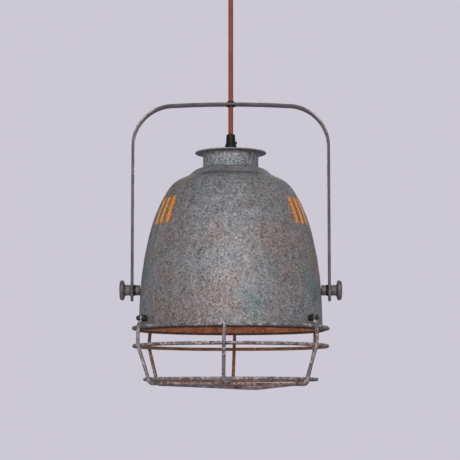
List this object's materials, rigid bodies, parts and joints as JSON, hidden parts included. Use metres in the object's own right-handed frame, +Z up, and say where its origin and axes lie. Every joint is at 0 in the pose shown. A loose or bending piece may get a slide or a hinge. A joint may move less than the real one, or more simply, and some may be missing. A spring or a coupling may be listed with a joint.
{
  "type": "pendant ceiling light",
  "caption": "Bell-shaped metal shade with vent slots, hung on a textile cord through a pivoting strap handle, with a wire guard below and a ceiling canopy.",
  "frame": {"origin": "middle of the ceiling bracket's top face, where it meets the ceiling, on the lamp's axis", "axes": "+Z up out of the ceiling face, -Y towards the viewer, +X to the viewer's right along the handle's pivots"},
  "size_m": [0.2898, 0.266, 0.607],
  "materials": {
    "zinc_patina": "mottled aged zinc, matte",
    "strap_metal": "aged, semi-matte",
    "guard_wire": "worn zinc over copper-brown",
    "black_steel": "black, satin",
    "black_plastic": "black, moulded",
    "black_rubber": "black, matte",
    "steel": "zinc-plated",
    "brass": "satin",
    "ceramic": "glazed white",
    "cord_fabric": "copper-brown braided textile",
    "lead_insulation": "plain insulation",
    "bulb_glass": "warm white, frosted"
  },
  "bodies": {
    "ceiling_mount": {"ceiling_crossbar": "steel", "canopy_cup": "zinc_patina", "canopy_screw_right": "steel", "canopy_screw_left": "steel", "canopy_grip": "black_plastic", "canopy_grip_screw": "steel", "canopy_grip_nut": "steel", "terminal_block": "ceramic", "lead_live": "lead_insulation", "lead_earth": "lead_insulation", "lead_neutral": "lead_insulation", "cord_tail": "cord_fabric"},
    "cord_link": {"cord_bend": "cord_fabric"},
    "handle": {"cord_upper": "cord_fabric", "handle_strap": "strap_metal", "handle_grommet": "black_plastic", "outer_washer_right": "steel", "outer_washer_left": "steel"},
    "shade": {"cord_lower": "cord_fabric", "shade_shell": "zinc_patina", "neck_collar": "zinc_patina", "neck_cap": "zinc_patina", "cord_gland": "black_plastic", "gland_screw": "black_plastic", "threaded_nipple": "steel", "nipple_nut": "steel", "lampholder_cap": "black_plastic", "lampholder_body": "black_plastic", "lampholder_core": "ceramic", "lampholder_sleeve": "brass", "lampholder_contact": "brass", "pivot_stud_right": "steel", "pivot_nut_right": "steel", "pivot_spacer_right": "strap_metal", "friction_washer_right": "black_rubber", "pivot_stud_left": "steel", "pivot_nut_left": "steel", "pivot_spacer_left": "strap_metal", "friction_washer_left": "black_rubber", "guard_ring_top": "guard_wire", "guard_ring_middle": "guard_wire", "guard_ring_bottom": "guard_wire", "guard_wire_a": "guard_wire", "guard_wire_b": "guard_wire", "guard_wire_c": "guard_wire", "guard_screw_a": "black_steel", "guard_screw_b": "black_steel", "guard_screw_c": "black_steel", "guard_spacer_a": "black_steel", "guard_spacer_b": "black_steel", "guard_spacer_c": "black_steel", "guard_nut_a": "steel", "guard_nut_b": "steel", "guard_nut_c": "steel"},
    "knob_right": {"knob_right": "strap_metal"},
    "knob_left": {"knob_left": "strap_metal"},
    "bulb": {"bulb_cap": "steel", "bulb_glass": "bulb_glass", "bulb_contact": "steel"}
  },
  "joints": [
    {"name": "swing_fore_aft", "type": "hinge", "parent": "ceiling_mount", "child": "cord_link", "pos_m": [0, 0, -0.066], "axis": [1, 0, 0], "range_deg": [-15, 15], "deforming": ["cord_bend"]},
    {"name": "swing_side", "type": "hinge", "parent": "cord_link", "child": "handle", "pos_m": [0, 0, -0.066], "axis": [0, 1, 0], "range_deg": [-15, 15], "deforming": ["cord_upper"]},
    {"name": "shade_tilt", "type": "hinge", "parent": "handle", "child": "shade", "pos_m": [0, 0, -0.478], "axis": [1, 0, 0], "range_deg": [-6, 6], "deforming": ["cord_lower"]},
    {"name": "knob_right_turn", "type": "hinge", "parent": "shade", "child": "knob_right", "pos_m": [0.138, 0, -0.478], "axis": [1, 0, 0], "range_deg": [0, 270]},
    {"name": "knob_left_turn", "type": "hinge", "parent": "shade", "child": "knob_left", "pos_m": [-0.138, 0, -0.478], "axis": [-1, 0, 0], "range_deg": [0, 270]},
    {"name": "bulb_turn", "type": "hinge", "parent": "shade", "child": "bulb", "pos_m": [0, 0, -0.37], "axis": [0, 0, -1], "range_deg": [0, 300]}
  ]
}
